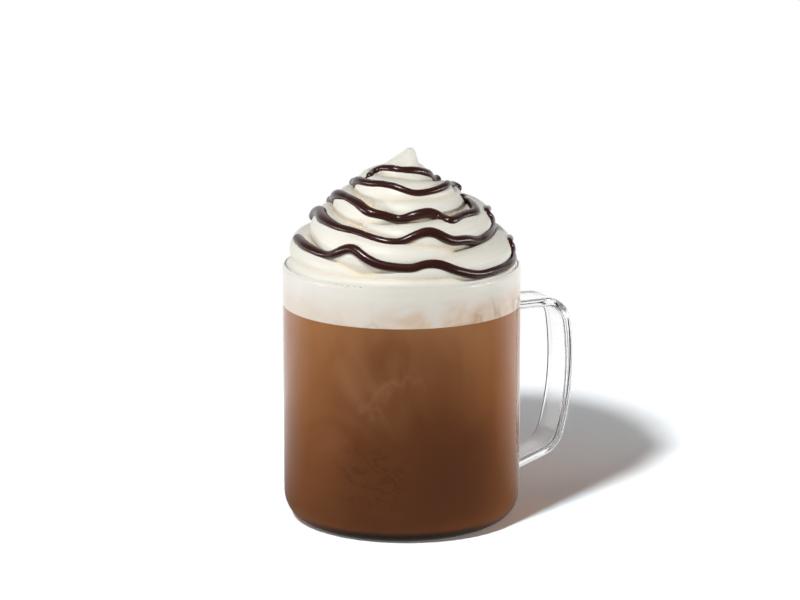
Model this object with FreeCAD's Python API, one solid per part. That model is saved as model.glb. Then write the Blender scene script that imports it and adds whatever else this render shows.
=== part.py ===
"""Caffe mocha in a straight glass mug: milky coffee, a band of milk foam and a swirl of whipped cream.

Millimetres, +Z up. The origin is the centre of the mug's flat underside and the handle points along +X.
"""
import FreeCAD, Part

import math
import os

from FreeCAD import Vector

# ---- Glass mug ----
MUG_RADIUS = 44.0        # outside of the straight wall
MUG_HEIGHT = 96.5
GLASS_WALL = 2.2
GLASS_FLOOR = 4.0        # a pressed mug's floor is thicker than its wall
BASE_ROUND = 10.3        # outside, from the flat underside to the wall
FLOOR_ROUND = 7.5        # inside, from the floor to the wall
RIM_ROUND = 1.0          # both edges of the lip

# ---- Strap handle, a flat band bent into a D ----
HANDLE_REACH = 24.7      # outermost point, beyond the wall
HANDLE_DROP = 17.6       # rim to the top of the strap
HANDLE_FOOT = 13.3       # underside to where the lower arm leaves the wall
HANDLE_WIDTH = 15.6
HANDLE_THICKNESS = 3.3
HANDLE_EDGE = 1.1        # rounding along the strap's edges
UPPER_CORNER = 10.9      # outer radii where the arms turn into the grip
LOWER_CORNER = 11.5
LOWER_SLOPE = 18.4       # degrees, the lower arm falls towards the mug
GRIP_BOW = 105.0         # radius of the gently bowed grip
BOW_PLACE = 0.62         # where the grip stands out furthest, as a share of the handle's height
HANDLE_ROOT = 1.2        # small fillet where each arm meets the wall

# ---- Drink ----
FILL_GAP = 0.05          # between the glass and what it holds
COFFEE_DROP = 15.0       # rim to the top of the coffee
FOAM_DROP = 4.0          # rim to the top of the foam, where the cream starts

# ---- Whipped cream, piped as one rope that winds up to a point ----
CREAM_RISE = 43.5        # rim to the tip
CREAM_SHOULDER = 1.7     # exponent of the mound's outline: larger is fuller
CREAM_SPILL = 0.9        # how far the lowest coil leans out over the lip
ROPE_BULGE = 4.2         # how far each coil stands out from the crease below it
ROPE_SAG = 1.3           # how far a coil hangs over that crease
LOWER_PITCH = 8.2        # height of a turn at the rim
UPPER_PITCH = 6.6        # height of a turn below the tip
WIND_START = 82.0        # degrees, where the lowest crease leaves the rim
PEAK_SHARE = 0.84        # above this share of the rise the cream is a plain drawn-out peak
TIP_RADIUS = 1.6
TIP_LEAN = 3.5           # sideways, at the tip
TIP_BEARING = -26.0      # degrees, the way the tip leans
UNEVEN = 1.0             # how far the soft coils wander in and out
SIDES = 36               # control points round the mound
ROWS_PER_TURN = 7        # control points up each coil

INNER_RADIUS = MUG_RADIUS - GLASS_WALL
FILL_RADIUS = INNER_RADIUS - FILL_GAP
COFFEE_LEVEL = MUG_HEIGHT - COFFEE_DROP
FOAM_LEVEL = MUG_HEIGHT - FOAM_DROP


def arc_between(start, end, centre):
    """The shorter arc from start to end about a centre, all in one plane."""
    middle = (start + end) * 0.5 - centre
    middle.normalize()
    return Part.Arc(start, centre + middle * (start - centre).Length, end).toShape()


def revolve(points, arcs):
    """Turn a closed (r, z) outline about Z. arcs maps a start index to the (r, z) centre of its arc."""
    corners = [Vector(r, 0, z) for r, z in points]
    edges = []
    for index, start in enumerate(corners):
        end = corners[(index + 1) % len(corners)]
        if index in arcs:
            r, z = arcs[index]
            edges.append(arc_between(start, end, Vector(r, 0, z)))
        else:
            edges.append(Part.LineSegment(start, end).toShape())
    face = Part.Face(Part.Wire(edges))
    return face.revolve(Vector(0, 0, 0), Vector(0, 0, 1), 360)


def mug_blank():
    """The mug's outer form as a full solid, before the cavity is cut."""
    r, h = MUG_RADIUS, MUG_HEIGHT
    points = [(0, 0), (r - BASE_ROUND, 0), (r, BASE_ROUND), (r, h - RIM_ROUND), (r - RIM_ROUND, h), (0, h)]
    return revolve(points, {1: (r - BASE_ROUND, BASE_ROUND), 3: (r - RIM_ROUND, h - RIM_ROUND)})


def mug_cavity():
    """What is hollow inside the mug, opening into the rounded lip."""
    r, h, z = INNER_RADIUS, MUG_HEIGHT, GLASS_FLOOR
    lip = r + RIM_ROUND
    points = [(0, z), (r - FLOOR_ROUND, z), (r, z + FLOOR_ROUND), (r, h - RIM_ROUND), (lip, h),
              (lip, h + 1), (0, h + 1)]
    return revolve(points, {1: (r - FLOOR_ROUND, z + FLOOR_ROUND), 3: (lip, h - RIM_ROUND)})


def handle_outline():
    """The D that the outside of the strap follows, closed inside the mug, with sharp corners."""
    top = MUG_HEIGHT - HANDLE_DROP
    reach = MUG_RADIUS + HANDLE_REACH
    root = MUG_RADIUS * 0.5                   # well inside the cavity, where it is cut away
    bow_x = reach - GRIP_BOW
    bow_z = HANDLE_FOOT + BOW_PLACE * (top - HANDLE_FOOT)
    slope = math.radians(LOWER_SLOPE)

    def grip(z):
        return Vector(bow_x + math.sqrt(GRIP_BOW ** 2 - (z - bow_z) ** 2), 0, z)

    def lower_arm(x):
        return HANDLE_FOOT + (x - MUG_RADIUS) * math.tan(slope)

    upper = grip(top)
    low_z = HANDLE_FOOT
    for _ in range(20):                       # settles where the lower arm meets the grip
        low_z = lower_arm(grip(low_z).x)
    lower = grip(low_z)
    corners = [Vector(root, 0, top), upper, lower, Vector(root, 0, lower_arm(root))]
    edges = [Part.LineSegment(corners[0], upper).toShape(),
             Part.Arc(upper, grip(bow_z), lower).toShape(),
             Part.LineSegment(lower, corners[3]).toShape(),
             Part.LineSegment(corners[3], corners[0]).toShape()]
    return Part.Wire(edges), upper, lower


def rounded_along_y(solid, corner, radius):
    """Round the edge of an extruded outline that stands at one corner of it."""
    edges = [e for e in solid.Edges if all(math.hypot(v.X - corner.x, v.Z - corner.z) < 0.01 for v in e.Vertexes)]
    return solid.makeFillet(radius, edges)


def handle():
    """The strap as a closed D, rounded at its turns and along its edges."""
    outline, upper, lower = handle_outline()
    slab = Part.Face(outline).extrude(Vector(0, HANDLE_WIDTH, 0))
    slab = rounded_along_y(slab, upper, UPPER_CORNER)
    slab = rounded_along_y(slab, lower, LOWER_CORNER)
    side = [f for f in slab.Faces if f.BoundBox.YMax < 0.01][0]
    finger_hole = Part.Face(side.makeOffset2D(-HANDLE_THICKNESS).Wires[0])
    strap = slab.cut(finger_hole.extrude(Vector(0, HANDLE_WIDTH, 0)))
    edges = [e for e in strap.Edges if e.BoundBox.YLength < 0.01]
    strap = strap.makeFillet(HANDLE_EDGE, edges)
    strap.translate(Vector(0, -HANDLE_WIDTH / 2, 0))
    return strap


def glass_mug():
    """Mug and handle as the one piece of glass that they are."""
    mug = mug_blank().fuse(handle())
    roots = [e for e in mug.Edges if lies_on_wall(e)]
    mug = mug.makeFillet(HANDLE_ROOT, roots)
    return mug.cut(mug_cavity())


def lies_on_wall(edge):
    """True for an edge where the handle's arms meet the mug's outer wall."""
    first, last = edge.ParameterRange
    spots = [edge.valueAt(first + (last - first) * share) for share in (0.1, 0.5, 0.9)]
    near_arm = all(p.x > 0 and abs(p.y) < HANDLE_WIDTH * 0.6 for p in spots)
    return near_arm and all(abs(math.hypot(p.x, p.y) - MUG_RADIUS) < 0.01 for p in spots)


def coffee():
    """The milky coffee up to its level."""
    r, z, top = FILL_RADIUS, GLASS_FLOOR + FILL_GAP, COFFEE_LEVEL
    corner = FLOOR_ROUND - FILL_GAP
    points = [(0, z), (r - corner, z), (r, z + corner), (r, top), (0, top)]
    return revolve(points, {1: (r - corner, z + corner)})


def milk_foam():
    """The band of foam that lies on the coffee."""
    return Part.makeCylinder(FILL_RADIUS, FOAM_LEVEL - COFFEE_LEVEL, Vector(0, 0, COFFEE_LEVEL))


def crease_count(rise):
    """How many turns of the rope lie between the rim and a rise above it; they tighten towards the tip."""
    middle_pitch = LOWER_PITCH + (UPPER_PITCH - LOWER_PITCH) * 0.5 * rise / CREAM_RISE
    return rise / middle_pitch


def clear_of_lip(rise, over):
    """0 while the cream is still inside the lip, growing to 1 over a height above it."""
    return min(max(rise - 1.5 * RIM_ROUND, 0.0) / over, 1.0)


def mound_radius(rise):
    """The mound's mean outline, from the lip up to the small round tip."""
    share = rise / CREAM_RISE
    foot = FILL_RADIUS + CREAM_SPILL * clear_of_lip(rise, LOWER_PITCH / 3)
    return TIP_RADIUS + (foot - TIP_RADIUS) * (1 - share ** CREAM_SHOULDER)


def coil_section(turn):
    """Height of the rope's rounded section over its creases, 0 to 1, fullest low down where it hangs over."""
    share = turn - math.floor(turn)
    return math.sin(math.pi * share ** 0.8)


def cream_point(rise, bearing):
    """One control point of the swirl, pushed out square to the mound by the coil it lies on."""
    share = rise / CREAM_RISE
    angle = math.radians(bearing)
    step = 0.05
    slope = (mound_radius(rise) - mound_radius(rise - step)) / step if rise > step else 0.0
    length = math.hypot(1.0, slope)
    coiled = clear_of_lip(rise, LOWER_PITCH / 2) * min((1 - share) / (1 - PEAK_SHARE), 1.0)
    height = coil_section(crease_count(rise) + (bearing - WIND_START) / 360.0)
    wander = math.sin(2 * angle + 0.9 + rise * 0.21) + 0.6 * math.sin(3 * angle - 1.4 - rise * 0.16)
    out = coiled * (ROPE_BULGE * (height - 0.6) + UNEVEN * wander * (1 - share))
    radius = mound_radius(rise) + out / length
    z = MUG_HEIGHT + rise - out * slope / length - coiled * ROPE_SAG * height
    lean = TIP_LEAN * share ** 3
    lean_to = math.radians(TIP_BEARING)
    # A periodic cubic runs a little inside its control points, so they stand out by this much.
    stretch = 6.0 / (4.0 + 2.0 * math.cos(2 * math.pi / SIDES))
    return Vector(radius * stretch * math.cos(angle) + lean * math.cos(lean_to),
                  radius * stretch * math.sin(angle) + lean * math.sin(lean_to), z)


def flat_row(radius, z, lean):
    """A level ring of control points, for the ends of the skin."""
    stretch = 6.0 / (4.0 + 2.0 * math.cos(2 * math.pi / SIDES))
    lean_to = math.radians(TIP_BEARING)
    return [Vector(radius * stretch * math.cos(2 * math.pi * side / SIDES) + lean * math.cos(lean_to),
                   radius * stretch * math.sin(2 * math.pi * side / SIDES) + lean * math.sin(lean_to), z)
            for side in range(SIDES)]


def whipped_cream():
    """The swirl: one smooth skin over the winding rope, closed flat below and at the very tip."""
    rows = [flat_row(FILL_RADIUS, z, 0.0) for z in (FOAM_LEVEL, FOAM_LEVEL + FOAM_DROP * 0.5, MUG_HEIGHT - 0.2)]
    count = int(crease_count(CREAM_RISE) * ROWS_PER_TURN)
    for index in range(1, count):
        rise = CREAM_RISE * index / count
        rows.append([cream_point(rise, side * 360.0 / SIDES) for side in range(SIDES)])
    tip = MUG_HEIGHT + CREAM_RISE
    rows += [flat_row(TIP_RADIUS, tip - 0.5, TIP_LEAN), flat_row(TIP_RADIUS * 0.5, tip, TIP_LEAN)]
    columns = [[row[side] for row in rows] for side in range(SIDES)]
    spans = len(rows) - 3
    skin = Part.BSplineSurface()
    skin.buildFromPolesMultsKnots(columns, [1] * (SIDES + 1), [4] + [1] * (spans - 1) + [4],
                                  list(range(SIDES + 1)), list(range(spans + 1)), True, False, 3, 3)
    side_face = skin.toShape()
    ends = [e for e in side_face.Edges if e.isClosed() and e.BoundBox.ZLength < 0.01]
    shell = Part.makeShell([side_face] + [Part.Face(Part.Wire([e])) for e in ends])
    shell.sewShape()
    solid = Part.Solid(shell if shell.ShapeType == "Shell" else shell.Shells[0])
    if solid.Volume < 0:
        solid.reverse()
    return solid


NODES = {
    "glass_mug": glass_mug,
    "mocha_coffee": coffee,
    "milk_foam": milk_foam,
    "whipped_cream": whipped_cream,
}

os.makedirs("parts", exist_ok=True)
for name, build in NODES.items():
    shape = build()
    shape.exportStep("parts/%s.step" % name)
    print("%-14s %9.1f mm3, %d solid, valid %s" % (name, shape.Volume, len(shape.Solids), shape.isValid()))
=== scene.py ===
import math

import bpy
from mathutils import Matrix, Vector
from mathutils.bvhtree import BVHTree


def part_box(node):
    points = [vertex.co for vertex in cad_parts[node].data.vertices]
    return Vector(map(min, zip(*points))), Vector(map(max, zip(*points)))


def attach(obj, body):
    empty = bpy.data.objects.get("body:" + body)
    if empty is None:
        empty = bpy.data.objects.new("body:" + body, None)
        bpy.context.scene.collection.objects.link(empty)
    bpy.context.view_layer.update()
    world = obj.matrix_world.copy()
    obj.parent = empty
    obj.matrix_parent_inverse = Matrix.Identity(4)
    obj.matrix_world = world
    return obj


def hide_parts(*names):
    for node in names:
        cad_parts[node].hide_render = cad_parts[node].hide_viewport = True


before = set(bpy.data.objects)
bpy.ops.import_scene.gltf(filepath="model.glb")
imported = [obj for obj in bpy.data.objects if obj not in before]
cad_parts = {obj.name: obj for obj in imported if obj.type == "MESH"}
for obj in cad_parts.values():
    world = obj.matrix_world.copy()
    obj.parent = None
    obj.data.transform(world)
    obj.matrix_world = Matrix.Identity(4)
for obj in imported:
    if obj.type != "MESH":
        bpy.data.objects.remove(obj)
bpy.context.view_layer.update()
bpy.context.scene.view_settings.view_transform = "Standard"
mm = 0.001

# sizes that every piece shares, all read from the frame
mugLow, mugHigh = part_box("glass_mug")
coffeeLow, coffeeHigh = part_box("mocha_coffee")
foamLow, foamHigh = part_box("milk_foam")
mug = {
    "radius": -mugLow.y,
    "height": mugHigh.z,
    "bore": coffeeHigh.x + 0.05 * mm,      # the inside of the glass wall, past the clearance of what fills it
    "floor": coffeeLow.z,
    "lipRound": 1.0 * mm,
    "front": -116,                         # bearing of the side that faces the viewer, in degrees
}
fillReach = 0.12 * mm                      # what fills the mug goes this far into the wall
print("frame: mug %.1f mm across, %.1f mm tall" % (mug["radius"] * 2000, mug["height"] * 1000))


def around(side, radius, z):               # side in degrees from the front, positive to the right
    angle = math.radians(side + mug["front"])
    return Vector((radius * math.cos(angle), radius * math.sin(angle), z))


def deselectAll():
    if bpy.context.object and bpy.context.object.mode != "OBJECT":
        bpy.ops.object.mode_set(mode="OBJECT")
    bpy.ops.object.select_all(action="DESELECT")


def selectOnly(piece):
    deselectAll()
    piece.select_set(True)
    bpy.context.view_layer.objects.active = piece


def applyAll(piece):
    selectOnly(piece)
    for modifier in list(piece.modifiers):
        bpy.ops.object.modifier_apply(modifier=modifier.name)


def settle(piece, name):                   # the place goes into the mesh, the object stays at the origin
    selectOnly(piece)
    bpy.ops.object.transform_apply(location=True, rotation=True, scale=True)
    piece.name = name
    piece.data.name = name
    return piece


def join(pieces, name):
    deselectAll()
    for piece in pieces:
        piece.select_set(True)
    bpy.context.view_layer.objects.active = pieces[0]
    bpy.ops.object.join()
    return settle(bpy.context.object, name)


# nodes for the materials
def newMaterial(name, roughness, specular=0.5):
    material = bpy.data.materials.new(name)
    material.use_nodes = True
    shader = material.node_tree.nodes["Principled BSDF"]
    shader.inputs["Roughness"].default_value = roughness
    shader.inputs["Specular IOR Level"].default_value = specular
    return material, material.node_tree.nodes, material.node_tree.links, shader


def fillSocket(links, socket, value):      # a value that is a socket is linked, a colour gets its alpha
    if isinstance(value, bpy.types.NodeSocket):
        links.new(value, socket)
    elif socket.type == "RGBA" and len(value) == 3:
        socket.default_value = (*value, 1.0)
    else:
        socket.default_value = value


def addNode(nodes, kind, **settings):
    node = nodes.new(kind)
    for key, value in settings.items():
        if key in node.inputs:
            node.inputs[key].default_value = value
        else:
            setattr(node, key, value)
    return node


def ramp(nodes, links, source, stops):     # stops are (place, (red, green, blue))
    node = nodes.new("ShaderNodeValToRGB")
    elements = node.color_ramp.elements
    while len(elements) < len(stops):
        elements.new(0.5)
    for element, (place, colour) in zip(elements, stops):
        element.position = place
        element.color = (*colour, 1.0)
    links.new(source, node.inputs["Fac"])
    return node.outputs["Color"]


def greys(*stops):                         # the stops of a ramp, given as (place, level)
    return [(place, (level, level, level)) for place, level in stops]


def mixColour(nodes, links, factor, first, second, blend="MIX"):
    node = addNode(nodes, "ShaderNodeMix", data_type="RGBA", blend_type=blend)
    for name, value in (("Factor", factor), ("A", first), ("B", second)):
        fillSocket(links, node.inputs[name], value)
    return node.outputs["Result"]


def mixShader(nodes, links, factor, first, second):
    node = nodes.new("ShaderNodeMixShader")
    for socket, value in zip(node.inputs, (factor, first, second)):
        links.new(value, socket)
    return node.outputs[0]


def maths(nodes, links, operation, first, second=0.0):
    node = addNode(nodes, "ShaderNodeMath", operation=operation)
    for socket, value in zip(node.inputs, (first, second)):
        fillSocket(links, socket, value)
    return node.outputs["Value"]


def vectorMaths(nodes, links, operation, first, second):
    node = addNode(nodes, "ShaderNodeVectorMath", operation=operation)
    for socket, value in zip(node.inputs, (first, second)):
        fillSocket(links, socket, value)
    return node.outputs["Value"]


def spread(nodes, links, source, low, high, toLow=0.0, toHigh=1.0, bend="LINEAR"):
    node = addNode(nodes, "ShaderNodeMapRange", interpolation_type=bend)
    for name, value in (("Value", source), ("From Min", low), ("From Max", high), ("To Min", toLow),
                        ("To Max", toHigh)):
        fillSocket(links, node.inputs[name], value)
    return node.outputs["Result"]


def objectPlace(nodes):
    return nodes.new("ShaderNodeTexCoord").outputs["Object"]


def noise(nodes, links, vector, scale, detail=2.0, distortion=0.0):
    node = nodes.new("ShaderNodeTexNoise")
    for name, value in (("Vector", vector), ("Scale", scale), ("Detail", detail), ("Distortion", distortion)):
        fillSocket(links, node.inputs[name], value)
    return node.outputs["Fac"]


def stretched(nodes, links, across, upright):          # Object coordinates, drawn out so that a pattern hangs
    mapping = nodes.new("ShaderNodeMapping")
    mapping.inputs["Scale"].default_value = (across, across, upright)
    links.new(objectPlace(nodes), mapping.inputs["Vector"])
    return mapping.outputs["Vector"]


# effects that several materials share: each is a node group that gives a mask from 0 to 1
def heightMask(nodes, links, given):
    height = nodes.new("ShaderNodeSeparateXYZ")
    links.new(objectPlace(nodes), height.inputs[0])
    return spread(nodes, links, height.outputs["Z"], given["Low"], given["High"])


def sideMask(nodes, links, given):
    across = vectorMaths(nodes, links, "DOT_PRODUCT", objectPlace(nodes), viewer["right"])
    return spread(nodes, links, across, given["Low"], given["High"], bend="SMOOTHSTEP")


def nearMask(nodes, links, given):
    away = vectorMaths(nodes, links, "DISTANCE", objectPlace(nodes), given["Centre"])
    return spread(nodes, links, away, given["Outer"], given["Inner"], bend="SMOOTHSTEP")


def lineMask(nodes, links, given):
    field = noise(nodes, links, given["Vector"], given["Scale"], given["Detail"], given["Distortion"])
    edge = maths(nodes, links, "ABSOLUTE", maths(nodes, links, "SUBTRACT", field, 0.5))
    across = maths(nodes, links, "DIVIDE", edge, given["Width"])
    return ramp(nodes, links, across, greys((0.0, 1.0), (0.4, 0.4), (1.0, 0.0)))


effectInputs = {
    "heightShare": (heightMask, ["Low", "High"]),
    "sideShare": (sideMask, ["Low", "High"]),
    "nearShare": (nearMask, ["Centre", "Inner", "Outer"]),
    "wanderingLines": (lineMask, ["Vector", "Scale", "Detail", "Distortion", "Width"]),
}
effectGroups = {}


def makeEffects():
    for name, (build, labels) in effectInputs.items():
        group = bpy.data.node_groups.new(name, "ShaderNodeTree")
        for label in labels:
            kind = "NodeSocketVector" if label in ("Vector", "Centre") else "NodeSocketFloat"
            group.interface.new_socket(label, in_out="INPUT", socket_type=kind)
        group.interface.new_socket("Share", in_out="OUTPUT", socket_type="NodeSocketFloat")
        given = group.nodes.new("NodeGroupInput").outputs
        result = group.nodes.new("NodeGroupOutput").inputs["Share"]
        group.links.new(build(group.nodes, group.links, given), result)
        effectGroups[name] = group


def effect(nodes, links, name, *values):
    node = addNode(nodes, "ShaderNodeGroup", node_tree=effectGroups[name])
    for socket, value in zip(node.inputs, values):
        fillSocket(links, socket, value)
    return node.outputs["Share"]


def heightShare(nodes, links, low, high):  # 0 at the low height, 1 at the high one, in metres
    return effect(nodes, links, "heightShare", low, high)


def sideShare(nodes, links, low, high):    # the same by distance to the viewer's right, in mm
    return effect(nodes, links, "sideShare", low * mm, high * mm)


def nearShare(nodes, links, centre, inner, outer):     # 1 near a point, 0 far from it, in mm
    return effect(nodes, links, "nearShare", centre, inner * mm, outer * mm)


def lines(nodes, links, vector, scale, detail, distortion, width):     # thin wandering lines out of a noise
    return effect(nodes, links, "wanderingLines", vector, scale, detail, distortion, width)


glassLook = {
    "colour": (0.985, 0.99, 0.985, 1.0),
    "refraction": 1.5,
    "passed": (0.92, 0.93, 0.92, 1.0),     # what is left of a lamp's or a soft ray that goes through
}


def glassMaterial():
    material, nodes, links, shader = newMaterial("clearGlass", 0.0)
    shader.inputs["Transmission Weight"].default_value = 1.0
    shader.inputs["IOR"].default_value = glassLook["refraction"]
    shader.inputs["Base Color"].default_value = glassLook["colour"]
    clear = addNode(nodes, "ShaderNodeBsdfTransparent", Color=glassLook["passed"])
    path = nodes.new("ShaderNodeLightPath")
    lamps = mixShader(nodes, links, path.outputs["Is Shadow Ray"], shader.outputs[0], clear.outputs[0])
    soft = mixShader(nodes, links, path.outputs["Is Diffuse Ray"], lamps, clear.outputs[0])
    links.new(soft, nodes["Material Output"].inputs["Surface"])
    return material


# a noise is given as (scale, detail, distortion), and lines have their width as a fourth number
# a spot is (side in degrees from the front, height, inner reach, outer reach), the last three in mm:
# it is full within the inner reach, and there is none of it past the outer one
coffeeLook = {
    "hang": 0.7,                           # how its clouds and veils are drawn out upright
    "span": (0.004, 0.0815),               # heights between which its colour changes, in metres
    "depths": [(0.0, (0.120, 0.040, 0.0145)), (0.16, (0.138, 0.046, 0.0160)), (0.5, (0.170, 0.054, 0.0180)),
               (0.8, (0.262, 0.100, 0.035)), (1.0, (0.390, 0.172, 0.072))],
    "clouds": (20, 3, 0.9),
    "cloudiness": 0.8,                     # how far clouds shift that colour up or down
    "leftSide": (-8, -42),                 # where its sides begin and are full, in mm to the right
    "rightSide": (22, 42),
    "litAtLeft": 0.58,                    # paler towards its sides: painted light from the side lamps
    "litAtRight": 0.78,
    "litSpan": (0.006, 0.055),            # heights between which that grows to the whole
    "litBelow": 0.25,                     # what there is of it at the foot
    "sideLitColour": (0.445, 0.160, 0.046),
    "shadeSpot": (34, 26, 4, 34),           # painted shade on one part at the right, where the lamps fall off
    "shadeStrength": 0.42,
    "shadeColour": (0.072, 0.022, 0.0105),
    "veilSpots": [(-38, 58, 8, 34), (-10, 68, 5, 24)],     # milk that sinks into it, in soft veils
    "drift": (24, 3, 1.2),
    "driftStops": [(0.36, 0), (0.50, 0.5), (0.64, 1)],
    "veil": 0.85,
    "veilColour": (0.42, 0.195, 0.092),
    "threads": (20, 4, 1.4, 0.045),
    "thread": 0.34,
    "threadColour": (0.42, 0.21, 0.10),
    "curlSpot": (-16, 24, 8, 19),          # dark curls low down
    "curls": (62, 4, 2.0, 0.05),
    "curlHang": 1.2,
    "curl": 0.42,
    "curlColour": (0.075, 0.020, 0.008),
    "baseShadeBand": 1.6 * mm,                  # painted shade and reflection: the dark that the thick base shows
    "baseShadeColour": (0.014, 0.009, 0.004),
    "floorRound": 7.5 * mm,
}


def spot(nodes, links, side, height, inner, outer):    # on the inside of the glass wall
    return nearShare(nodes, links, around(side, mug["bore"], height * mm), inner, outer)


def coffeeDepth(nodes, links, drawn):      # its colour by height, with clouds
    height = heightShare(nodes, links, *coffeeLook["span"])
    cloud = maths(nodes, links, "SUBTRACT", noise(nodes, links, drawn, *coffeeLook["clouds"]), 0.5)
    shift = maths(nodes, links, "MULTIPLY", cloud, coffeeLook["cloudiness"])
    return ramp(nodes, links, maths(nodes, links, "ADD", height, shift), coffeeLook["depths"])


def paintedSideLight(nodes, links):             # painted side light: how much paler the coffee is drawn towards its sides
    left = sideShare(nodes, links, *coffeeLook["leftSide"])
    left = maths(nodes, links, "MULTIPLY", left, coffeeLook["litAtLeft"])
    right = sideShare(nodes, links, *coffeeLook["rightSide"])
    right = maths(nodes, links, "MULTIPLY", right, coffeeLook["litAtRight"])
    below = coffeeLook["litBelow"]
    upper = maths(nodes, links, "MULTIPLY", heightShare(nodes, links, *coffeeLook["litSpan"]), 1 - below)
    upper = maths(nodes, links, "ADD", upper, below)
    return maths(nodes, links, "MULTIPLY", maths(nodes, links, "ADD", left, right), upper)


def coffeeMaterial():
    material, nodes, links, shader = newMaterial("milkyCoffee", 0.5, 0.0)
    drawn = stretched(nodes, links, 1.0, coffeeLook["hang"])
    colour = coffeeDepth(nodes, links, drawn)
    # painted side light: paler coffee towards its sides
    colour = mixColour(nodes, links, paintedSideLight(nodes, links), colour, coffeeLook["sideLitColour"])
    # painted shade: darker coffee in one spot at the right
    share = maths(nodes, links, "MULTIPLY", spot(nodes, links, *coffeeLook["shadeSpot"]), coffeeLook["shadeStrength"])
    colour = mixColour(nodes, links, share, colour, coffeeLook["shadeColour"])
    veils = [spot(nodes, links, *place) for place in coffeeLook["veilSpots"]]
    curtain = maths(nodes, links, "MAXIMUM", *veils)
    drift = noise(nodes, links, drawn, *coffeeLook["drift"])
    veil = ramp(nodes, links, drift, greys(*coffeeLook["driftStops"]))
    thread = lines(nodes, links, drawn, *coffeeLook["threads"])
    curlRegion = spot(nodes, links, *coffeeLook["curlSpot"])
    curl = lines(nodes, links, stretched(nodes, links, 1.0, coffeeLook["curlHang"]), *coffeeLook["curls"])
    layers = (("veil", veil, curtain), ("thread", thread, curtain), ("curl", curl, curlRegion))
    for name, pattern, region in layers:
        region = maths(nodes, links, "MULTIPLY", region, coffeeLook[name])
        share = maths(nodes, links, "MULTIPLY", pattern, region)
        colour = mixColour(nodes, links, share, colour, coffeeLook[name + "Colour"])
    # painted shade and reflection: near-black coffee just above its floor, for the dark the thick base shows
    low = heightShare(nodes, links, mug["floor"], mug["floor"] + coffeeLook["baseShadeBand"])
    colour = mixColour(nodes, links, low, coffeeLook["baseShadeColour"], colour)
    links.new(colour, shader.inputs["Base Color"])
    return material


foamLook = {
    "colour": (0.96, 0.912, 0.845),
    "fallStops": [(0.0, 1), (0.45, 0.8), (0.95, 0)],       # how coffee fades out of it upwards
    "stainedSide": (-30, 12),              # from where to where that grows, in mm to the right
    "leastAtLeft": 0.2,
    "patches": (44, 4, 1.4),
    "patchHang": 1.3,
    "patchStops": [(0.42, 0), (0.60, 1)],
    "taken": 0.34,                         # how much coffee it takes up evenly, low down
    "stain": 0.56,
    "stainColour": (0.80, 0.52, 0.32),
    "wisps": (30, 3, 1.6, 0.05),
    "wispHang": 0.6,
    "wisp": 0.5,
    "wispColour": (0.52, 0.28, 0.14),
}


def foamMaterial():
    material, nodes, links, shader = newMaterial("milkFoam", 0.6, 0.0)
    height = heightShare(nodes, links, foamLow.z, foamHigh.z)
    low = ramp(nodes, links, height, greys(*foamLook["fallStops"]))
    least = foamLook["leastAtLeft"]
    side = maths(nodes, links, "MULTIPLY", sideShare(nodes, links, *foamLook["stainedSide"]), 1 - least)
    side = maths(nodes, links, "ADD", side, least)
    cloud = noise(nodes, links, stretched(nodes, links, 1.0, foamLook["patchHang"]), *foamLook["patches"])
    patch = ramp(nodes, links, cloud, greys(*foamLook["patchStops"]))
    stain = maths(nodes, links, "MULTIPLY", maths(nodes, links, "MULTIPLY", low, patch), side)
    stain = maths(nodes, links, "ADD", stain, maths(nodes, links, "MULTIPLY", low, foamLook["taken"]))
    share = maths(nodes, links, "MULTIPLY", stain, foamLook["stain"])
    colour = mixColour(nodes, links, share, foamLook["colour"], foamLook["stainColour"])
    thin = lines(nodes, links, stretched(nodes, links, 1.0, foamLook["wispHang"]), *foamLook["wisps"])
    wisp = maths(nodes, links, "MULTIPLY", thin, maths(nodes, links, "MULTIPLY", low, side))
    share = maths(nodes, links, "MULTIPLY", wisp, foamLook["wisp"])
    colour = mixColour(nodes, links, share, colour, foamLook["wispColour"])
    links.new(colour, shader.inputs["Base Color"])
    return material


creamLook = {
    "colour": (0.885, 0.855, 0.765),
    # painted shade: the creases are drawn darker and warmer
    "creaseShadeColour": (0.80, 0.71, 0.55),
    "creaseShadeStops": [(0.26, 1), (0.50, 0)],
    "grain": (900, 3),
    "grainDepth": 0.2 * mm,
    "blend": (-1.6 * mm, 0.4 * mm),        # about the rim it turns from the foam's colour to its own
}


def creamMaterial():
    material, nodes, links, shader = newMaterial("whippedCream", 0.45, 0.35)
    # painted shade: a darker, warmer colour where the surface lies in a crease
    hollow = addNode(nodes, "ShaderNodeAttribute", attribute_name="creases")
    creaseShadeShare = ramp(nodes, links, hollow.outputs["Fac"], greys(*creamLook["creaseShadeStops"]))
    bare = mixColour(nodes, links, creaseShadeShare, creamLook["colour"], creamLook["creaseShadeColour"])
    above = heightShare(nodes, links, *[mug["height"] + step for step in creamLook["blend"]])
    colour = mixColour(nodes, links, above, foamLook["colour"], bare)
    links.new(colour, shader.inputs["Base Color"])
    bump = addNode(nodes, "ShaderNodeBump", Strength=0.12, Distance=creamLook["grainDepth"])
    links.new(noise(nodes, links, objectPlace(nodes), *creamLook["grain"]), bump.inputs["Height"])
    links.new(bump.outputs["Normal"], shader.inputs["Normal"])
    return material


sauceLook = {
    "colour": (0.038, 0.0075, 0.0050, 1.0),
    "roughness": 0.24,
}


def sauceMaterial():
    material, nodes, links, shader = newMaterial("chocolateSauce", sauceLook["roughness"])
    shader.inputs["Base Color"].default_value = sauceLook["colour"]
    return material


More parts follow.
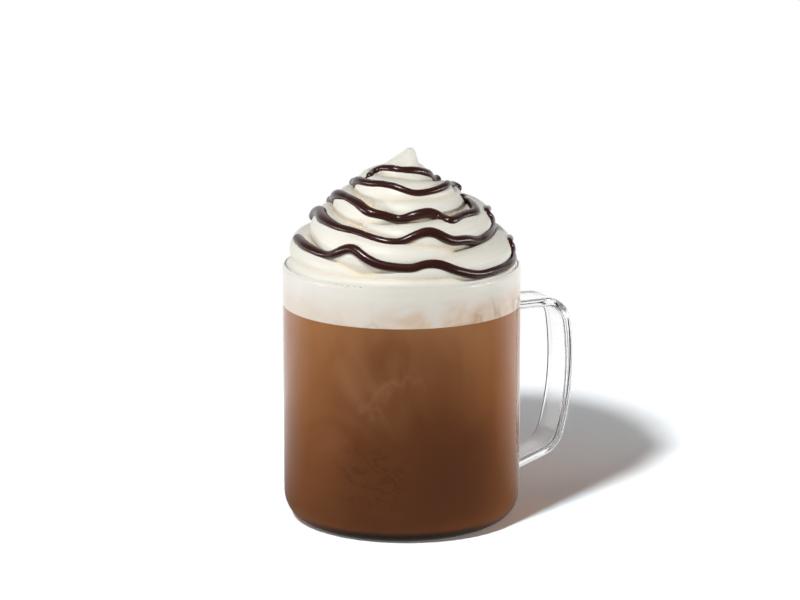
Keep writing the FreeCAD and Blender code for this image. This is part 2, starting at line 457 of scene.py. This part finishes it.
# what the glass holds: each is a turned piece that reaches just into the wall
def turnedPiece(name, profile, steps=128):
    bpy.ops.mesh.primitive_circle_add(vertices=3, radius=1 * mm)     # a seed, replaced by the outline
    piece = bpy.context.object
    bpy.ops.object.mode_set(mode="EDIT")
    bpy.ops.mesh.delete(type="VERT")
    bpy.ops.object.mode_set(mode="OBJECT")
    piece.data.vertices.add(len(profile))
    piece.data.edges.add(len(profile) - 1)
    for index, (radius, z) in enumerate(profile):
        piece.data.vertices[index].co = (radius, 0, z)
    for index in range(len(profile) - 1):
        piece.data.edges[index].vertices = (index, index + 1)
    selectOnly(piece)
    bpy.ops.object.mode_set(mode="EDIT")
    bpy.ops.mesh.select_all(action="SELECT")
    bpy.ops.mesh.spin(steps=steps, angle=2 * math.pi, center=(0, 0, 0), axis=(0, 0, 1))
    bpy.ops.mesh.select_all(action="SELECT")
    bpy.ops.mesh.remove_doubles(threshold=0.00001)
    bpy.ops.mesh.normals_make_consistent(inside=False)
    bpy.ops.object.mode_set(mode="OBJECT")
    bpy.ops.object.shade_smooth_by_angle(angle=math.radians(35))
    return settle(piece, name)


def arcPoints(centreRadius, centreZ, radius, start, end, count):
    angles = [math.radians(start + (end - start) * step / count) for step in range(count + 1)]
    return [(centreRadius + radius * math.cos(a), centreZ + radius * math.sin(a)) for a in angles]


def makeCoffee():
    reach = mug["bore"] + fillReach
    corner = coffeeLook["floorRound"]
    floor = mug["floor"] - fillReach
    profile = [(0, floor)] + arcPoints(reach - corner, floor + corner, corner, -90, 0, 10)
    profile += [(reach, coffeeHigh.z), (0, coffeeHigh.z)]
    coffee = turnedPiece("coffeeBody", profile)
    coffee.data.materials.append(coffeeMaterial())
    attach(coffee, "root")
    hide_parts("mocha_coffee")
    return coffee


def makeFoam():
    reach = mug["bore"] + fillReach
    profile = [(0, foamLow.z), (reach, foamLow.z), (reach, foamHigh.z), (0, foamHigh.z)]
    foam = turnedPiece("foamBand", profile)
    foam.data.materials.append(foamMaterial())
    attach(foam, "root")
    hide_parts("milk_foam")
    return foam


# whipped cream: a core, coils laid round it and a peak, made one skin
cream = {
    "outline": [(0, 41.9), (6, 40.4), (15, 33.0), (24, 24.5), (31, 15.5), (34, 10.0), (38, 5.6), (43.5, 1.0)],
    "coreFoot": -5.0,                      # where the core begins, in mm from the rim, inside the foam
    "coreTop": 36,
    "coreSteps": 12,
    "coreDepth": 4.6,                      # the core lies this far inside the coils
    "voxel": 0.5 * mm,
    "smooth": 3,
    "intoWall": fillReach - 0.03 * mm,     # how far it goes into the glass wall
}
# each station is (side, radius, rise, thickness): side in degrees from the front, the rest in mm from the rim
coils = {
    "rimCoil": [
        (60, 38.2, 0.2, 2.6), (20, 39.4, 0.3, 2.3), (-20, 39.7, 0.4, 2.2), (-50, 39.4, 0.7, 2.4),
        (-80, 38.6, 1.0, 3.0), (-130, 38.4, 1.4, 3.4), (-180, 38.2, 1.6, 3.4), (-230, 38.2, 1.6, 3.4),
        (-280, 38.4, 1.0, 3.0), (-310, 38.0, 0.4, 2.4)],
    "lowCoil": [
        (-14, 34.4, 0.8, 2.4), (-28, 36.0, 2.4, 3.4), (-44, 36.2, 3.8, 4.4), (-62, 35.8, 5.0, 5.4),
        (-90, 35.2, 6.0, 6.2), (-118, 34.6, 6.4, 6.4), (-150, 34.2, 6.6, 6.4), (-185, 33.8, 7.0, 6.6),
        (-215, 33.6, 7.2, 6.6), (-242, 33.6, 7.0, 6.6), (-266, 33.8, 6.8, 6.7), (-288, 34.8, 6.4, 6.4),
        (-308, 35.4, 5.8, 6.0), (-330, 36.0, 5.0, 5.2), (-352, 36.8, 4.4, 4.2), (-368, 37.0, 3.8, 3.0),
        (-384, 35.6, 3.2, 2.2)],
    "frontCoil": [
        (40, 32.0, 7.4, 2.4), (26, 34.0, 8.2, 3.4), (12, 34.4, 8.8, 4.8), (-4, 33.8, 9.0, 6.4),
        (-20, 32.8, 9.4, 7.6), (-38, 31.0, 11.0, 8.0), (-60, 28.4, 13.0, 7.6), (-88, 26.6, 14.6, 6.8),
        (-118, 25.4, 15.6, 6.6), (-155, 25.0, 16.2, 6.6), (-190, 25.0, 16.8, 6.6),
        (-222, 25.2, 17.0, 6.6), (-252, 25.8, 17.0, 6.6), (-276, 26.4, 16.6, 6.8),
        (-296, 27.0, 15.6, 6.8), (-316, 27.8, 15.0, 7.0), (-336, 28.8, 15.0, 6.6),
        (-354, 29.4, 15.6, 5.4), (-370, 29.4, 16.6, 3.8), (-386, 27.6, 17.6, 2.6)],
    "leftLens": [
        (-10, 21.0, 20.0, 2.4), (-24, 23.4, 20.6, 3.6), (-42, 22.6, 21.2, 5.0), (-62, 21.0, 22.0, 5.6),
        (-86, 19.6, 22.6, 5.6), (-116, 18.8, 23.2, 5.4), (-155, 18.0, 23.8, 5.4),
        (-195, 17.4, 24.2, 5.4), (-235, 17.4, 24.0, 5.2), (-270, 17.8, 23.4, 5.2),
        (-300, 18.8, 22.8, 5.4), (-325, 19.6, 22.6, 5.2), (-345, 20.0, 23.2, 4.6),
        (-365, 19.6, 24.0, 3.6), (-385, 17.6, 24.6, 2.6)],
    "noseCoil": [
        (78, 16.6, 27.2, 3.0), (64, 16.4, 27.6, 4.6), (42, 15.4, 27.4, 5.6), (16, 13.8, 27.2, 6.4),
        (-12, 12.8, 27.4, 6.8), (-42, 12.2, 27.8, 6.6), (-75, 11.4, 28.6, 6.2), (-112, 10.4, 29.6, 5.8),
        (-155, 8.8, 30.8, 5.4), (-200, 7.0, 31.8, 5.0), (-245, 5.4, 32.4, 4.8)],
    "topCoil": [
        (60, 2.4, 31.8, 2.4), (34, 4.2, 32.0, 3.4), (0, 5.0, 32.4, 4.4), (-35, 5.0, 32.8, 4.6),
        (-75, 4.6, 33.2, 4.4), (-120, 3.8, 33.8, 4.0), (-170, 2.0, 34.4, 3.6)],
}
# the peak's outline as (radius, rise), and how far it leans to the viewer's right as (rise, sideways)
peak = [(12.0, 31.5), (10.2, 33.4), (7.9, 35.6), (5.8, 37.9), (3.8, 40.1), (2.3, 41.9), (1.2, 43.0),
        (0, 43.5)]
lean = [(31.5, -0.8), (35.6, -0.9), (37.9, 0.4), (40.1, 1.7), (41.9, 2.8), (43.5, 3.2)]


def along(stops, place):
    for (low, lowValue), (high, highValue) in zip(stops, stops[1:]):
        if place <= high:
            share = max(place - low, 0) / (high - low)
            return lowValue + (highValue - lowValue) * share
    return stops[-1][1]


def moundRadius(rise):                     # the outside of the cream, all in mm
    return along(cream["outline"], rise)


def addPeak():                             # the soft tip, drawn up and to one side
    profile = [(0, 29.0), (13.0, 29.0)] + peak
    piece = turnedPiece("creamPeak", [(r * mm, mug["height"] + z * mm) for r, z in profile], 48)
    for vertex in piece.data.vertices:
        rise = (vertex.co.z - mug["height"]) / mm
        vertex.co += viewer["right"] * along(lean, rise) * mm
    return piece


def addRope(name, stations):
    bpy.ops.curve.primitive_bezier_curve_add()
    rope = bpy.context.object
    rope.name = name
    curve = rope.data
    curve.dimensions = "3D"
    curve.bevel_depth = 1 * mm
    curve.bevel_resolution = 6
    curve.resolution_u = 8
    curve.use_fill_caps = True
    spline = curve.splines[0]
    spline.bezier_points.add(len(stations) - 2)
    for point, (side, radius, rise, thick) in zip(spline.bezier_points, stations):
        point.co = around(side, radius * mm, mug["height"] + rise * mm)
        point.radius = thick
        point.handle_left_type = "AUTO"
        point.handle_right_type = "AUTO"
    selectOnly(rope)
    bpy.ops.object.convert(target="MESH")
    return bpy.context.object


def addBall(side, radius, rise, size):     # closes a rope's end roundly
    bpy.ops.mesh.primitive_uv_sphere_add(segments=32, ring_count=16, radius=size * mm,
                                         location=around(side, radius * mm, mug["height"] + rise * mm))
    return bpy.context.object


def makeCream():
    strokes = []
    wall = (mug["bore"] + cream["intoWall"]) / mm
    core = [(0, cream["coreFoot"]), (wall, cream["coreFoot"]), (wall, 0.6)]
    for step in range(1, cream["coreSteps"] + 1):
        rise = cream["coreTop"] * step / cream["coreSteps"]
        core.append((max(moundRadius(rise) - cream["coreDepth"], 1.0), rise - 1.5))
    core.append((0, cream["coreTop"]))
    strokes.append(turnedPiece("creamCore", [(r * mm, mug["height"] + z * mm) for r, z in core], 64))
    for name, stations in coils.items():
        strokes.append(addRope(name, stations))
        for end in (stations[0], stations[-1]):
            strokes.append(addBall(*end))
    strokes.append(addPeak())
    piece = join(strokes, "whippedCreamSwirl")
    remesh = piece.modifiers.new("oneSkin", "REMESH")
    remesh.mode = "VOXEL"
    remesh.voxel_size = cream["voxel"]
    soften = piece.modifiers.new("soften", "SMOOTH")
    soften.factor = 0.5
    soften.iterations = cream["smooth"]
    applyAll(piece)
    keepInsideGlass(piece)
    bpy.ops.object.shade_smooth()
    # painted shade: how far each point lies in a crease, stored for the colour
    piece.data.color_attributes.new(name="creases", type="FLOAT_COLOR", domain="POINT")
    piece.data.color_attributes.active_color_index = 0
    bpy.ops.paint.vertex_color_dirt(blur_strength=1.0, blur_iterations=6, clean_angle=math.radians(110),
                                    dirt_angle=math.radians(60), dirt_only=False)
    piece.data.materials.clear()
    piece.data.materials.append(creamMaterial())
    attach(piece, "root")
    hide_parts("whipped_cream")
    return piece


def keepInsideGlass(piece):                # below the lip the cream lies in the bore, above it may lean out
    reach = mug["bore"] + cream["intoWall"]
    lipStart = mug["height"] - mug["lipRound"]
    for vertex in piece.data.vertices:
        x, y, z = vertex.co
        radius = math.hypot(x, y)
        if z < lipStart:
            limit = reach
        else:
            up = min((z - lipStart) / mug["lipRound"], 1)
            limit = reach - 0.2 * mm + mug["lipRound"] * (1 - math.sqrt(max(1 - up * up, 0)))
            limit += 0.5 * max(z - mug["height"] - 0.4 * mm, 0)
        if radius > limit:
            vertex.co.x *= limit / radius
            vertex.co.y *= limit / radius


# chocolate sauce: five strokes laid round the cream, each to a rounded end at the front left
sauce = {
    "thickness": 1.75 * mm,
    "lift": -0.1 * mm,                     # how far its middle lies above the cream
    "step": 1.2 * mm,
    "settle": 4,                           # rounds of smoothing that let it bridge the creases
    "voxel": 0.38 * mm,
    "smooth": 4,
}
# what shows from the front: (across, up, thickness) in mm from the middle of the rim, seen square on
# what lies behind: (side, rise, thickness), with the side in degrees from the front
sauceFront = [
    [(12.7, 30.8, 1.15), (11.4, 31.8, 1.25), (8.6, 33.2, 1.1), (4.2, 34.2, 0.95), (0, 34.2, 0.8),
     (-4.3, 34.9, 0.9), (-8.0, 34.9, 0.85), (-11.0, 33.6, 0.8), (-11.9, 31.8, 0.85)],
    [(20.8, 27.9, 1.0), (19.8, 28.7, 1.0), (18.2, 29.0, 0.95), (15.0, 27.9, 0.85), (9.9, 26.3, 0.75),
     (5.4, 25.6, 0.75), (2.3, 26.3, 0.75), (-1.6, 28.0, 0.8), (-7.3, 29.2, 0.8), (-13.2, 29.7, 0.85),
     (-17.5, 29.7, 1.25)],
    [(22.4, 24.4, 0.75), (24.4, 22.8, 0.85), (26.6, 20.6, 1.0), (27.2, 19.0, 1.05), (25.2, 18.2, 1.05),
     (21.3, 17.1, 1.0), (17.5, 15.2, 1.1), (13.7, 17.1, 1.15), (10.5, 18.7, 1.15), (4.1, 17.4, 1.05),
     (-1.6, 16.2, 1.0), (-7.9, 17.8, 1.05), (-12.4, 18.7, 1.15), (-15.6, 21.6, 1.15),
     (-20.0, 24.1, 0.95), (-23.2, 25.2, 1.25), (-26.1, 23.1, 1.15)],
    [(31.2, 18.9, 0.8), (32.8, 16.8, 1.0), (33.4, 13.6, 1.05), (30.9, 9.8, 1.25), (27.7, 7.9, 1.25),
     (23.2, 8.6, 1.1), (18.8, 7.9, 1.1), (15.0, 9.8, 1.1), (10.5, 11.7, 1.1), (5.4, 10.4, 0.95),
     (1.0, 8.2, 0.9), (-4.1, 7.6, 0.9), (-10.5, 9.1, 0.9), (-16.9, 11.4, 0.9), (-23.2, 13.0, 0.95),
     (-28.9, 16.4, 1.3), (-30.2, 19.0, 1.4), (-33.4, 17.4, 1.1)],
    [(39.6, 7.8, 0.8), (40.4, 6.0, 1.0), (41.0, 2.8, 1.0), (38.5, -1.0, 1.05), (34.1, -2.6, 1.05),
     (28.3, -4.2, 1.05), (23.2, -3.6, 1.0), (18.8, -2.3, 1.0), (13.7, -0.4, 1.05), (7.3, -0.7, 0.95),
     (4.8, -2.0, 0.95), (-2.8, -1.6, 1.0), (-9.2, -0.4, 1.05), (-14.9, 2.8, 1.05), (-18.1, 5.7, 1.1),
     (-21.9, 4.7, 1.05), (-26.4, 2.8, 0.95), (-31.5, 4.1, 1.0), (-35.9, 6.6, 1.15), (-38.5, 9.2, 1.1)],
]
sauceBehind = [
    [(236, 29.6, 0.5), (222, 30.2, 0.9), (204, 28.2, 1.0), (186, 28.8, 0.9), (168, 26.8, 1.0),
     (150, 27.6, 0.9), (134, 26.2, 0.5)],
    [(240, 25.2, 0.5), (224, 26.2, 0.9), (208, 24.0, 1.1), (190, 25.0, 0.9), (172, 22.8, 1.0),
     (154, 24.0, 0.9), (136, 22.6, 0.5)],
    [(242, 19.8, 0.5), (228, 21.6, 1.0), (210, 19.4, 1.1), (192, 20.8, 0.9), (174, 18.4, 1.1),
     (156, 19.6, 1.0), (138, 17.8, 0.5)],
    [(240, 13.2, 0.5), (224, 15.4, 1.0), (206, 13.6, 1.1), (188, 15.6, 1.0), (168, 13.2, 1.1),
     (146, 15.8, 1.0), (122, 15.8, 0.8)],
    [(238, 4.6, 0.5), (220, 6.6, 1.1), (200, 4.8, 1.0), (180, 7.2, 1.0), (160, 5.0, 1.1),
     (142, 7.0, 1.0), (122, 5.2, 0.8)],
]
sauceApart = [0, 1, 2]                        # of these, what lies behind doesn't join what shows in front


def between(before, start, end, after, share):     # a smooth curve that passes through start and end
    return 0.5 * (2 * start + (end - before) * share + (2 * before - 5 * start + 4 * end - after) * share ** 2
                  + (3 * start - before - 3 * end + after) * share ** 3)


def dropOn(tree, front, behind):           # the marks of one stroke, brought onto the cream
    rim = Vector((0, 0, mug["height"]))
    marks = []
    for side, rise, thick in behind:
        outside = around(side, 80 * mm, mug["height"] + rise * mm)
        marks.append((tree.ray_cast(outside, around(side, -1, 0))[0], thick))
    for across, up, thick in front:
        aim = rim + viewer["right"] * across * mm + viewer["up"] * up * mm
        hit = tree.ray_cast(viewer["place"], (aim - viewer["place"]).normalized())[0]
        if hit is None:                    # past the outline: the nearest cream
            hit = tree.find_nearest(aim)[0]
        marks.append((hit, thick))
    return marks


def layStroke(tree, marks):
    points = []
    for index in range(len(marks) - 1):
        four = [marks[min(max(index + offset, 0), len(marks) - 1)] for offset in (-1, 0, 1, 2)]
        count = max(int((four[2][0] - four[1][0]).length / sauce["step"]), 1)
        for step in range(count):
            share = step / count
            place = between(*[mark[0] for mark in four], share)
            thick = four[1][1] + (four[2][1] - four[1][1]) * share
            hit, normal = tree.find_nearest(place)[:2]
            points.append([hit + normal * sauce["lift"], thick])
    for _ in range(sauce["settle"]):
        places = [point[0].copy() for point in points]
        for index in range(1, len(points) - 1):
            points[index][0] = places[index] * 0.5 + (places[index - 1] + places[index + 1]) * 0.25
    return points


def addStroke(points):
    bpy.ops.curve.primitive_nurbs_path_add()
    line = bpy.context.object
    curve = line.data
    curve.splines.clear()
    spline = curve.splines.new("POLY")
    spline.points.add(len(points) - 1)
    for target, (place, thick) in zip(spline.points, points):
        target.co = (*place, 1)
        target.radius = thick
    curve.bevel_depth = sauce["thickness"]
    curve.bevel_resolution = 5
    curve.use_fill_caps = True
    selectOnly(line)
    bpy.ops.object.convert(target="MESH")
    parts = [bpy.context.object]
    for place, thick in (points[0], points[-1]):
        bpy.ops.mesh.primitive_uv_sphere_add(segments=20, ring_count=12, location=place,
                                             radius=sauce["thickness"] * thick)
        parts.append(bpy.context.object)
    return parts


def makeSauce(skin):
    tree = BVHTree.FromObject(skin, bpy.context.evaluated_depsgraph_get())
    parts = []
    for index, (front, behind) in enumerate(zip(sauceFront, sauceBehind)):
        if index in sauceApart:
            parts += addStroke(layStroke(tree, dropOn(tree, [], behind)))
            behind = []
        parts += addStroke(layStroke(tree, dropOn(tree, front, behind)))
    piece = join(parts, "chocolateDrizzle")
    remesh = piece.modifiers.new("oneSkin", "REMESH")
    remesh.mode = "VOXEL"
    remesh.voxel_size = sauce["voxel"]
    soften = piece.modifiers.new("soften", "SMOOTH")
    soften.factor = 0.5
    soften.iterations = sauce["smooth"]
    applyAll(piece)
    bpy.ops.object.shade_smooth()
    piece.data.materials.clear()
    piece.data.materials.append(sauceMaterial())
    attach(piece, "root")
    return piece


# camera, lights and floor
camera = {
    "bearing": -26,                        # the way the viewer looks, turned from +Y towards +X when negative
    "down": 13.04,                         # degrees that it looks down
    "distance": 1258.1 * mm,
    "lens": 151.94,
    "offCentre": (0.617 * mm, 33.56 * mm),     # how far the aim passes left of and above mid height
    "midHeight": 48 * mm,
}


def makeCamera():
    turn = math.radians(camera["bearing"])
    down = math.radians(camera["down"])
    level = Vector((-math.sin(turn), math.cos(turn), 0))
    forward = level * math.cos(down) - Vector((0, 0, math.sin(down)))
    right = Vector((math.cos(turn), math.sin(turn), 0))
    up = right.cross(forward)
    left, above = camera["offCentre"]
    place = Vector((0, 0, camera["midHeight"])) - forward * camera["distance"] - right * left + up * above
    bpy.ops.object.camera_add(location=place, rotation=(math.radians(90) - down, 0, turn))
    eye = bpy.context.object
    eye.data.lens = camera["lens"]
    eye.data.sensor_width = 36
    eye.data.clip_end = 20
    bpy.context.scene.camera = eye
    ahead = Vector((forward.x, forward.y, 0))
    return {"place": place, "right": right, "up": up, "ahead": ahead}


# side in degrees from the front, height in degrees, distance and size in metres, power in watts
lights = {
    "keyLight": {"side": -20.5, "height": 51.3, "distance": 0.26, "size": 0.026, "power": 0.335},
    "fillLight": {"side": 80, "height": 1, "distance": 3, "size": 2.4, "tall": 0.26, "power": 48},
    "sideLight": {"side": -80, "height": 1, "distance": 3, "size": 1.8, "tall": 0.26, "power": 32},
}


def addLight(name):                        # aimed at the upper part of the mug
    settings = lights[name]
    angle = math.radians(mug["front"] + settings["side"])
    tilt = math.radians(settings["height"])
    away = Vector((math.cos(angle) * math.cos(tilt), math.sin(angle) * math.cos(tilt), math.sin(tilt)))
    centre = Vector((0, 0, mug["height"] * 0.6))
    bpy.ops.object.light_add(type="AREA", location=centre + away * settings["distance"])
    light = bpy.context.object
    light.name = name
    light.rotation_euler = away.to_track_quat("Z", "Y").to_euler()
    light.data.shape = "DISK"
    light.data.size = settings["size"]
    if "tall" in settings:
        light.data.shape = "RECTANGLE"
        light.data.size_y = settings["tall"]
    light.data.energy = settings["power"]
    return light


room = {
    "horizon": (0.22, 0.80),               # what matt surfaces receive from the viewer's side and from behind
    "overhead": 0.0,
    "behind": 1.0,                         # the white sweep that glass and gloss show
    "nearSide": 0.12,                      # the dim room on the viewer's side
    "bandStops": [(0.0, 1), (0.12, 1), (0.26, 0)],         # how the pale horizon ends upwards
}


def makeWorld():
    world = bpy.data.worlds.new("paleRoom")
    bpy.context.scene.world = world
    world.use_nodes = True
    nodes, links = world.node_tree.nodes, world.node_tree.links
    nodes.clear()
    path = nodes.new("ShaderNodeLightPath")
    place = nodes.new("ShaderNodeTexCoord").outputs["Generated"]
    height = nodes.new("ShaderNodeSeparateXYZ")
    links.new(place, height.inputs[0])
    away = vectorMaths(nodes, links, "DOT_PRODUCT", place, viewer["ahead"])
    ring = ramp(nodes, links, away, greys((0.0, room["horizon"][0]), (0.35, room["horizon"][1])))
    low = ramp(nodes, links, height.outputs["Z"], greys(*room["bandStops"]))
    soft = nodes.new("ShaderNodeBackground")
    links.new(mixColour(nodes, links, low, (room["overhead"],) * 3, ring), soft.inputs["Color"])
    levels = greys((0.0, room["nearSide"]), (0.42, room["nearSide"]), (0.82, room["behind"]))
    sweep = ramp(nodes, links, away, levels)
    mirrored = nodes.new("ShaderNodeBackground")
    links.new(sweep, mirrored.inputs["Color"])
    white = addNode(nodes, "ShaderNodeBackground", Color=(1, 1, 1, 1))
    sharp = maths(nodes, links, "MAXIMUM", path.outputs["Is Glossy Ray"], path.outputs["Is Transmission Ray"])
    glossy = mixShader(nodes, links, sharp, soft.outputs[0], mirrored.outputs[0])
    final = mixShader(nodes, links, path.outputs["Is Camera Ray"], glossy, white.outputs[0])
    output = nodes.new("ShaderNodeOutputWorld")
    links.new(final, output.inputs["Surface"])


floorTone = {
    "paint": (0.8, 0.8, 0.79, 1),
    "seen": 3.6,                           # its paleness to the camera, so that the lit floor is white
    "evening": 2.1,                        # how strongly it makes up for the lamp's falloff
    "tint": (0.94, 0.99, 1.03),            # takes the coffee's brown out of the shadow,
    "tintNear": (0.79, 0.965, 1.08),       # most of all beside the mug
    "tintSpot": (108, 50, 4, 52),          # its side in degrees, then its distance and reaches in mm
    "bounce": (0.30, 1.30),                # to matt surfaces, from the viewer's side and from behind
    "shadowMiddle": 0.37,                  # how far it lies from the mug, as a share of the lamp's way off
    "fadeStart": 0.155,                    # the shadow lies inside this, in metres from its middle
    "fadeEnd": 0.235,
}


def floorToMatt(nodes, links, sweep):      # what matt surfaces receive from it, as its paint and as a lift
    paint = addNode(nodes, "ShaderNodeBsdfDiffuse", Color=floorTone["paint"]).outputs[0]
    lift = addNode(nodes, "ShaderNodeEmission", Color=(1, 1, 1, 1))
    links.new(spread(nodes, links, sweep, -0.1, 0.1, *floorTone["bounce"]), lift.inputs["Strength"])
    both = nodes.new("ShaderNodeAddShader")
    links.new(paint, both.inputs[0])
    links.new(lift.outputs[0], both.inputs[1])
    return paint, both.outputs[0]


def floorToGloss(nodes, links, sweep):     # white behind the mug, dim on the viewer's side
    mirrored = nodes.new("ShaderNodeEmission")
    links.new(spread(nodes, links, sweep, 0.0, 0.16, room["nearSide"], 1.0), mirrored.inputs["Strength"])
    return mirrored.outputs[0]


def floorToCamera(nodes, links, place, lampPlace):     # evens out the lamp's falloff, white further out
    away = vectorMaths(nodes, links, "DISTANCE", place, lampPlace)
    ratio = maths(nodes, links, "POWER", away, floorTone["evening"])
    level = floorTone["seen"] / lampPlace.length ** floorTone["evening"]
    even = maths(nodes, links, "MULTIPLY", ratio, level)
    side, distance, inner, outer = floorTone["tintSpot"]
    bounced = nearShare(nodes, links, around(side, distance * mm, 0), inner, outer)
    tint = mixColour(nodes, links, bounced, floorTone["tint"], floorTone["tintNear"])
    near = nodes.new("ShaderNodeBsdfDiffuse")
    links.new(mixColour(nodes, links, 1.0, tint, even, "MULTIPLY"), near.inputs["Color"])
    far = addNode(nodes, "ShaderNodeEmission", Color=(1, 1, 1, 1), Strength=1.0)
    share = -floorTone["shadowMiddle"]
    reach = vectorMaths(nodes, links, "DISTANCE", place, (lampPlace.x * share, lampPlace.y * share, 0))
    fade = spread(nodes, links, reach, floorTone["fadeStart"], floorTone["fadeEnd"])
    return mixShader(nodes, links, fade, near.outputs[0], far.outputs[0])


def makeFloor(lampPlace):
    bpy.ops.mesh.primitive_plane_add(size=12, location=(0, 0, -0.02 * mm))
    floor = bpy.context.object
    floor.name = "paleFloor"
    material = bpy.data.materials.new("paleFloor")
    material.use_nodes = True
    nodes, links = material.node_tree.nodes, material.node_tree.links
    nodes.clear()
    place = objectPlace(nodes)
    path = nodes.new("ShaderNodeLightPath")
    sweep = vectorMaths(nodes, links, "DOT_PRODUCT", place, viewer["ahead"])
    last, lit = floorToMatt(nodes, links, sweep)
    pale = floorToCamera(nodes, links, place, lampPlace)
    # glass shows the same as the camera, but dim on the viewer's side
    dim = addNode(nodes, "ShaderNodeEmission", Strength=room["nearSide"])
    through = mixShader(nodes, links, spread(nodes, links, sweep, -0.03, 0.01), dim.outputs[0], pale)
    for kind, shader in (("Is Diffuse Ray", lit), ("Is Glossy Ray", floorToGloss(nodes, links, sweep)),
                         ("Is Transmission Ray", through), ("Is Camera Ray", pale)):
        last = mixShader(nodes, links, path.outputs[kind], last, shader)
    output = nodes.new("ShaderNodeOutputMaterial")
    links.new(last, output.inputs["Surface"])
    floor.data.materials.append(material)


viewer = makeCamera()
makeEffects()
makeWorld()
lamps = [addLight(name) for name in lights]
makeFloor(lamps[0].location)
print("stage: camera, world, floor and lights stand")

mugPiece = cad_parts["glass_mug"]
glass = glassMaterial()
for slot in mugPiece.material_slots:
    slot.material = glass
print("stage: the mug is glass")
makeCoffee()
makeFoam()
print("stage: coffee and foam fill it")
swirl = makeCream()
print("stage: the cream has %d faces" % len(swirl.data.polygons))
drizzle = makeSauce(swirl)
print("stage: the sauce has %d faces" % len(drizzle.data.polygons))
